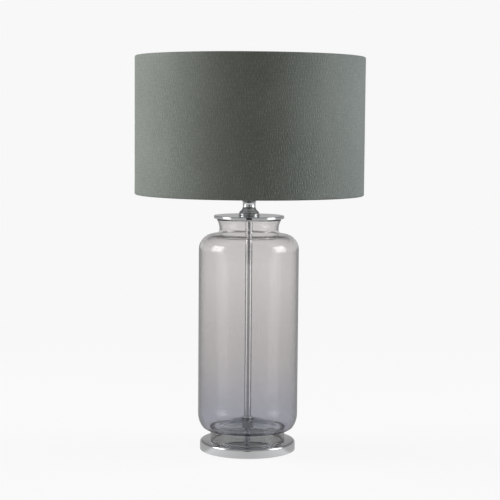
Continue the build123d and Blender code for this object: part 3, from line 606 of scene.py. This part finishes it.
def linked(name, data):
    """A new object in the scene."""
    made = bpy.data.objects.new(name, data)
    bpy.context.scene.collection.objects.link(made)
    return made


def finished_mesh(name, shape):
    """A mesh from a bmesh, which is freed."""
    mesh = bpy.data.meshes.new(name)
    shape.to_mesh(mesh)
    shape.free()
    return mesh


def new_piece(name, mesh, finish, body):
    """Links a mesh as a piece that rides on a body."""
    piece = linked(name, mesh)
    mesh.materials.append(finish)
    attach(piece, body)
    return piece


def dress(finish, *nodes):
    """Gives CAD nodes a finish."""
    for name in nodes:
        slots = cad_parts[name].data.materials
        slots.clear()
        slots.append(finish)


def swept_mesh(name, profile, angles, settle, keep=None):
    """A mesh from a profile of (radius, height) swept through angles, with its flat cut as the UV map.

    settle(angle, radius, height) gives a point's own radius and height, and keep(angle, row) leaves a face
    out where it is false.
    """
    shape = bmesh.new()
    flat = shape.loops.layers.uv.new("cut")
    run = [0.0]
    for (r0, z0), (r1, z1) in zip(profile, profile[1:]):
        run.append(run[-1] + math.hypot(r1 - r0, z1 - z0))
    widest = max(radius for radius, _ in profile)
    columns = []
    for angle in angles:
        column = []
        for radius, height in profile:
            reach, level = settle(angle, radius, height)
            column.append(shape.verts.new((reach * math.cos(angle), reach * math.sin(angle), level)))
        columns.append(column)
    for left in range(len(angles) - 1):
        for row in range(len(profile) - 1):
            if keep and not keep((angles[left] + angles[left + 1]) / 2, row):
                continue
            corners = ((left, row), (left + 1, row), (left + 1, row + 1), (left, row + 1))
            face = shape.faces.new([columns[a][b] for a, b in corners])
            face.smooth = True
            for loop, (a, b) in zip(face.loops, corners):
                loop[flat].uv = (angles[a] * widest, run[b])
    return finished_mesh(name, shape)


def rolled_edge(centre_radius, centre_height, roll, start, end, steps):
    """Points of a turn of cloth round a wire, in degrees from outwards."""
    points = []
    for step in range(steps + 1):
        angle = math.radians(start + (end - start) * step / steps)
        points.append((centre_radius + roll * math.cos(angle), centre_height + roll * math.sin(angle)))
    return points


def linen_drum(shade, finish):
    """The linen, one cut wrapped round the wires with its seam at the back and its edges turned in."""
    roll = shade.roll
    wire_radius = shade.radius - roll
    low = shade.bottom + roll
    high = shade.top - roll
    inside = wire_radius - roll
    ease = 0.001
    turn_steps = 8
    rows = 60
    profile = [(inside, shade.bottom + shade.hem), (inside, low + ease)]
    profile += rolled_edge(wire_radius, low, roll, 180.0, 360.0, turn_steps)
    for row in range(1, rows):
        profile.append((shade.radius, low + (high - low) * row / rows))
    profile += rolled_edge(wire_radius, high, roll, 0.0, 180.0, turn_steps)
    profile += [(inside, high - ease), (inside, shade.top - shade.hem)]
    lap = shade.overlap / shade.radius
    steps = 720
    angles = [SEAM + (2 * math.pi + lap) * step / steps for step in range(steps + 1)]
    climb_over = 0.05
    climb_from = angles[-1] - lap - climb_over
    deepest_slack = 0.0003
    glue = 0.0001

    def settle(angle, radius, height):
        """Slackens the cloth a little between the wires and lifts the lap over the seam."""
        away = min(height - shade.bottom, shade.top - height) / (shade.top - shade.bottom)
        spot = Vector((math.cos(angle) * 2.0, math.sin(angle) * 2.0, height * 9.0))
        slack = -deepest_slack * (0.5 + 0.5 * noise.noise(spot)) * min(1.0, away * 8.0)
        climb = min(1.0, max(0.0, (angle - climb_from) / climb_over))
        lift = climb * (shade.cloth + glue) / roll
        core = min(max(height, low), high)
        return radius + slack + lift * (radius - wire_radius), height + lift * (height - core)

    def keep(angle, row):
        """Slits the lower hem where the spider's spokes meet its wire."""
        if row >= HEM_ROWS:
            return True
        gaps = [abs((angle - spoke + math.pi) % (2 * math.pi) - math.pi) for spoke in SPOKES]
        return min(gaps) * shade.radius > SLIT_HALF_WIDTH

    mesh = swept_mesh("linen_drum", profile, angles, settle, keep)
    drum = new_piece("linen_drum", mesh, finish, "shade")
    skin = drum.modifiers.new("cloth", "SOLIDIFY")
    skin.thickness = shade.cloth
    skin.offset = -1.0
    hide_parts("shade_fabric")


def felt_pad(finish):
    """The felt pad, with a softly cut edge."""
    reach = FELT_HIGH.x
    low = FELT_LOW.z
    high = FELT_HIGH.z
    soft = 0.0006
    rings = [reach * step / 14.0 for step in range(14)]
    profile = [(ring, low) for ring in rings]
    profile += [(reach - soft, low), (reach, low + soft), (reach, high - soft), (reach - soft, high)]
    profile += [(ring, high) for ring in reversed(rings)]
    steps = 240
    angles = [2 * math.pi * step / steps for step in range(steps + 1)]
    deepest_fray = 0.0002

    def settle(angle, radius, height):
        """Frays the cut edge a little."""
        rag = noise.noise(Vector((math.cos(angle) * 40.0, math.sin(angle) * 40.0, height * 300.0)))
        return radius - deepest_fray * (0.5 + 0.5 * rag), height

    mesh = swept_mesh("felt_pad", profile, angles, settle)
    shape = bmesh.new()
    shape.from_mesh(mesh)
    bmesh.ops.remove_doubles(shape, verts=shape.verts, dist=0.0003)
    bmesh.ops.recalc_face_normals(shape, faces=shape.faces)
    shape.to_mesh(mesh)
    shape.free()
    pad = new_piece("felt_pad", mesh, finish, "lamp")
    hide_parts("base_felt")


# Studio


def softbox(name, angle, power, tint):
    """A tall soft lamp, at an angle from the front, that lights the object but doesn't show."""
    away = 2.6
    height = 1.51
    target = Vector((0.0, 0.0, 0.45))
    lamp = bpy.data.lights.new(name, "AREA")
    lamp.shape = "RECTANGLE"
    lamp.size = 1.93
    lamp.size_y = 2.7
    lamp.energy = power
    lamp.color = tint
    spot = linked(name, lamp)
    spot.location = (away * math.sin(angle), -away * math.cos(angle), height)
    aim = target - spot.location
    spot.rotation_euler = aim.to_track_quat("-Z", "Y").to_euler()
    spot.visible_camera = False
    spot.visible_glossy = False
    spot.visible_transmission = False


def mirror_card(name, radius, middle, half_width, low, high, level, soft=0.0):
    """A curved card that only shows in reflections, at degrees from the front; soft fades its edges."""
    s = material(name)
    amount = s.mirrored()
    if soft:
        flat = s.place("UV")
        for axis in "XY":
            from_middle = (s.part(flat, axis) - 0.5).size() * 2.0
            amount = amount * (1.0 - from_middle.above(1.0 - soft, 1.0))
    bright = s.node("ShaderNodeEmission", None, {"Strength": level})
    clear = s.node("ShaderNodeBsdfTransparent")
    s.end(s.mix_shader(amount, clear, bright))
    shape = bmesh.new()
    layer = shape.loops.layers.uv.new("card")
    steps = 24
    rows = []
    for step in range(steps + 1):
        angle = math.radians(middle - half_width + 2 * half_width * step / steps)
        side = radius * math.sin(angle)
        back = -radius * math.cos(angle)
        rows.append([shape.verts.new((side, back, low)), shape.verts.new((side, back, high))])
    for step in range(steps):
        left = rows[step]
        right = rows[step + 1]
        face = shape.faces.new((left[0], right[0], right[1], left[1]))
        spots = ((step, 0), (step + 1, 0), (step + 1, 1), (step, 1))
        for loop, (a, b) in zip(face.loops, spots):
            loop[layer].uv = (a / steps, b)
    mesh = finished_mesh(name, shape)
    mesh.materials.append(s.owner)
    card = linked(name, mesh)
    card.visible_camera = False
    card.visible_diffuse = False
    card.visible_shadow = False


def studio_floor(stage):
    """A pale floor that keeps the object's shadow and has no horizon."""
    s = material("floor")
    spot = s.place()
    reach = s.reach(spot)
    grain = s.cloud(spot, 30.0, 4.0)
    tint = s.blend(grain, (0.44, 0.44, 0.44), (0.47, 0.47, 0.47))
    lit = s.node("ShaderNodeBsdfDiffuse", None, {"Color": tint})
    lit_level = 0.33
    share_lit = (1.0 - reach.above(*SHADOW_REACH)) * stage.shadow
    pale = s.glow((stage.paper - share_lit * lit_level) / (1.0 - share_lit))
    # Mirrored, the floor is grey with painted light on it: lighter in front and at the sides, and two
    # painted bright patches that only the glass shows
    front = (0.0 - s.part(spot, "Y")) / reach
    side = (s.part(spot, "X") / reach).size()
    within = s.path("Transmission Depth").above(2.5, 3.5)
    painted_glass_patch = side.above(0.75, 0.86) * front.above(-0.02, 0.1) * reach.above(0.25, 0.45) * within
    painted_side_light = side * side * front.above(-0.5, 0.3) * (1.0 - side.above(0.88, 0.97))
    grey_with_painted_light = s.glow(0.44 + front * 0.09 + painted_side_light * 0.36 + painted_glass_patch * 1.3)
    mirrored = s.mix_shader(s.mirrored() * 0.9, lit, grey_with_painted_light)
    s.end(s.mix_shader(s.seen() * (1.0 - share_lit), mirrored, pale))
    shape = bmesh.new()
    bmesh.ops.create_circle(shape, cap_ends=True, segments=96, radius=14.0)
    mesh = finished_mesh("floor", shape)
    mesh.materials.append(s.owner)
    floor = linked("floor", mesh)
    below = 0.0002
    floor.location.z = CAD_BOX[0][2] - below


def studio_air(stage):
    """The world: pale where it is seen, a wall and a dark room above it in reflections, dim elsewhere."""
    world = bpy.data.worlds.new("studio")
    bpy.context.scene.world = world
    s = Sheet(world)
    height = s.part(s.place("Generated"), "Z")
    dark = height.above(*WALL_SLOPE)
    through = s.path("Is Transmission Ray")
    mirrored = s.mirrored()
    seen = s.seen()
    in_metal = 0.43 - dark * 0.23
    in_glass = 0.80 - dark * 0.18
    dim = 0.05
    reflected = through * in_glass + (1.0 - through) * in_metal
    level = mirrored * reflected + (1.0 - mirrored) * dim
    strength = seen * stage.paper + (1.0 - seen) * level
    s.end(s.glow(strength, "ShaderNodeBackground"), "ShaderNodeOutputWorld")


def studio_camera(stage):
    """The camera at the photograph's place."""
    data = bpy.data.cameras.new("camera")
    data.lens = stage.lens
    data.sensor_width = 36.0
    camera = linked("camera", data)
    camera.location = (0.0, -stage.camera_back, stage.camera_height)
    camera.rotation_euler = (math.pi / 2 - stage.camera_tilt, -stage.camera_roll, -stage.camera_aim)
    bpy.context.scene.camera = camera


# Operators


class LAMP_OT_stage(bpy.types.Operator):
    """Set the camera, the floor, the lamps and the world"""

    bl_idname = "lamp.stage"
    bl_label = "Studio"

    def execute(self, context):
        stage = context.scene.lamp_stage
        context.scene.view_settings.view_transform = "Standard"
        studio_camera(stage)
        studio_floor(stage)
        studio_air(stage)
        softbox("softbox_left", stage.left_turn, stage.left_power, stage.left_tint)
        softbox("softbox_right", stage.right_turn, stage.right_power, stage.right_tint)
        softbox("softbox_front", 0.0, stage.fill_power, stage.fill_tint)
        mirror_card("surround", radius=3.6, middle=0.0, half_width=60.0, low=0.0, high=3.0, level=0.42)
        mirror_card("opening", radius=3.5, middle=0.0, half_width=9.0, low=0.0, high=1.6, level=0.02)
        glow = {"radius": 1.35, "half_width": 21.0, "low": 0.20, "high": 1.5, "level": 5.0, "soft": 0.6}
        mirror_card("glow_left", middle=-78.0, **glow)
        mirror_card("glow_right", middle=78.0, **glow)
        return {"FINISHED"}


class LAMP_OT_shade(bpy.types.Operator):
    """Wrap the linen round the shade's wires and finish the lining and the wires"""

    bl_idname = "lamp.shade"
    bl_label = "Shade"

    def execute(self, context):
        shade = context.scene.lamp_shade
        linen_drum(shade, linen_finish(shade))
        dress(lining_finish(shade), "shade_lining")
        dress(coated_wire_finish(shade), "shade_top_ring", "shade_spider")
        return {"FINISHED"}


class LAMP_OT_jar(bpy.types.Operator):
    """Finish the glass jar and its clear seals"""

    bl_idname = "lamp.jar"
    bl_label = "Jar"

    def execute(self, context):
        jar = context.scene.lamp_jar
        dress(smoked_glass_finish(jar), "glass_jar")
        dress(clear_seal_finish(jar), "foot_gasket", "cap_gasket")
        return {"FINISHED"}


class LAMP_OT_chrome(bpy.types.Operator):
    """Finish the chromed pieces: base, tube, collar, cap and spool"""

    bl_idname = "lamp.chrome"
    bl_label = "Chrome pieces"

    def execute(self, context):
        finish = chrome_finish(context.scene.lamp_metal)
        dress(finish, "base_shell", "tube_collar", "centre_tube", "jar_cap", "neck_spool")
        return {"FINISHED"}


class LAMP_OT_inside(bpy.types.Operator):
    """Finish the rod, its nuts and washers, the weight and the cord's bush"""

    bl_idname = "lamp.inside"
    bl_label = "Rod and weight"

    def execute(self, context):
        metal = context.scene.lamp_metal
        plain = context.scene.lamp_plain
        dress(zinc_finish(metal, "zinc_thread", ROD_PITCH), "threaded_rod")
        dress(zinc_finish(metal, "zinc_plate"), "rod_washer", "rod_nut", "punt_nut", "grub_screw")
        dress(iron_finish(metal), "base_weight")
        dress(rubber_finish(plain), "cord_grommet", "punt_washer", "nut_washer")
        return {"FINISHED"}


class LAMP_OT_felt(bpy.types.Operator):
    """Lay the felt pad under the base"""

    bl_idname = "lamp.felt"
    bl_label = "Felt pad"

    def execute(self, context):
        felt_pad(felt_finish(context.scene.lamp_plain))
        return {"FINISHED"}


class LAMP_OT_holder(bpy.types.Operator):
    """Finish the lampholder and the shade's ring"""

    bl_idname = "lamp.holder"
    bl_label = "Lampholder"

    def execute(self, context):
        metal = context.scene.lamp_metal
        plain = context.scene.lamp_plain
        drifted = (0.034, 0.034, 0.035)
        black = moulded_finish("holder_plastic", plain.holder, drifted, 0.34, grain_scale=1600.0, depth=0.2)
        dress(black, "holder_cup", "holder_skirt", "shade_ring")
        drifted = (0.66, 0.62, 0.54)
        glazed = moulded_finish("insulator", plain.insert, drifted, 0.16, grain_scale=240.0, depth=0.1)
        dress(glazed, "holder_insert")
        dress(yellow_metal_finish(metal), "terminal_screws", "centre_contact")
        dress(rolled_shell_finish(metal), "screw_shell", "bulb_cap")
        return {"FINISHED"}


class LAMP_OT_bulb(bpy.types.Operator):
    """Finish the bulb"""

    bl_idname = "lamp.bulb"
    bl_label = "Bulb"

    def execute(self, context):
        plain = context.scene.lamp_plain
        dress(solder_finish(), "bulb_pip")
        drifted = (0.03, 0.03, 0.034)
        black = moulded_finish("black_glass", plain.bead, drifted, 0.08, grain_scale=300.0, depth=0.1)
        dress(black, "bulb_insulator")
        drifted = (0.72, 0.71, 0.68)
        white = moulded_finish("white_plastic", plain.bulb, drifted, 0.36, grain_scale=1300.0, depth=0.12)
        dress(white, "bulb_body")
        drifted = (0.80, 0.78, 0.73)
        opal = moulded_finish("opal", plain.opal, drifted, 0.22, grain_scale=500.0, depth=0.06)
        dress(opal, "bulb_globe")
        return {"FINISHED"}


class LAMP_PT_pieces(bpy.types.Panel):
    """Lists the lamp's pieces and settings"""

    bl_label = "Jar lamp"
    bl_idname = "LAMP_PT_pieces"
    bl_space_type = "VIEW_3D"
    bl_region_type = "UI"
    bl_category = "Jar lamp"

    def draw(self, context):
        for operator in OPERATORS:
            self.layout.operator(operator.bl_idname)
        for key, group in SETTINGS.items():
            box = self.layout.box()
            values = getattr(context.scene, key)
            for name in group.__annotations__:
                box.prop(values, name)


OPERATORS = (
    LAMP_OT_stage,
    LAMP_OT_shade,
    LAMP_OT_jar,
    LAMP_OT_chrome,
    LAMP_OT_inside,
    LAMP_OT_felt,
    LAMP_OT_holder,
    LAMP_OT_bulb,
)


def register():
    for key, group in SETTINGS.items():
        bpy.utils.register_class(group)
        setattr(bpy.types.Scene, key, bpy.props.PointerProperty(type=group))
    for operator in OPERATORS:
        bpy.utils.register_class(operator)
    bpy.utils.register_class(LAMP_PT_pieces)


def unregister():
    bpy.utils.unregister_class(LAMP_PT_pieces)
    for operator in reversed(OPERATORS):
        bpy.utils.unregister_class(operator)
    for key, group in reversed(SETTINGS.items()):
        delattr(bpy.types.Scene, key)
        bpy.utils.unregister_class(group)


def main():
    register()
    bpy.ops.lamp.stage()
    bpy.ops.lamp.shade()
    bpy.ops.lamp.jar()
    bpy.ops.lamp.chrome()
    bpy.ops.lamp.inside()
    bpy.ops.lamp.felt()
    bpy.ops.lamp.holder()
    bpy.ops.lamp.bulb()
    bpy.context.view_layer.update()


if __name__ == "__main__":
    main()
